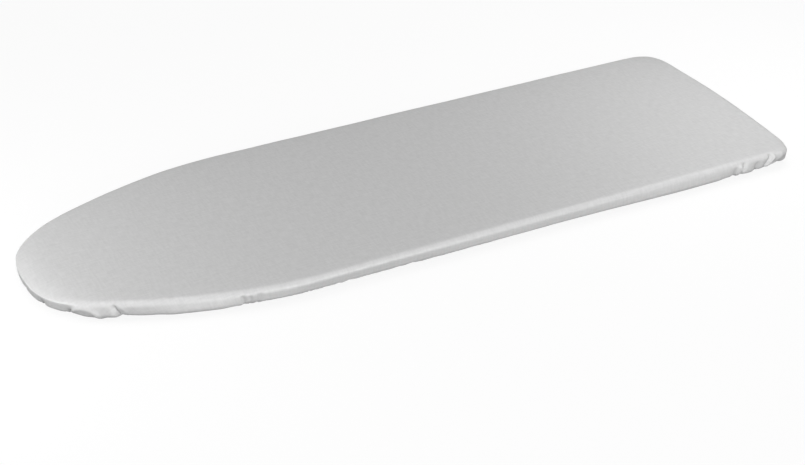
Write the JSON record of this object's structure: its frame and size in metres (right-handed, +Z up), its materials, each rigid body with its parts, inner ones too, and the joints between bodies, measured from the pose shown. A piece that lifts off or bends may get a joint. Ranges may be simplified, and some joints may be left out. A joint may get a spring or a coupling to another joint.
{
  "type": "ironing board cover",
  "caption": "Padded silver-grey ironing board cover with a tapered nose, square heel, soft rolled edge and a gathered skirt that an elasticated, bound hem holds under the board.",
  "frame": {"origin": "middle of the felt's underside, where the cover lies on the top of the board", "axes": "+X along the cover to its square heel, +Y across it, +Z up out of the ironing face"},
  "size_m": [1.1998, 0.4, 0.0306],
  "materials": {
    "metallised_cotton": "plain-weave cotton with a silver metallised face, satin",
    "foam": "open-cell polyurethane foam, matt",
    "needle_felt": "needle-punched polyester felt, matt",
    "binding_tape": "woven cotton bias tape, matt",
    "elastic": "braided elastic band, matt"
  },
  "bodies": {
    "root": {"face_fabric": "metallised_cotton", "foam_pad": "foam", "felt_underlay": "needle_felt", "hem_binding": "binding_tape", "hem_elastic": "elastic"}
  },
  "joints": []
}
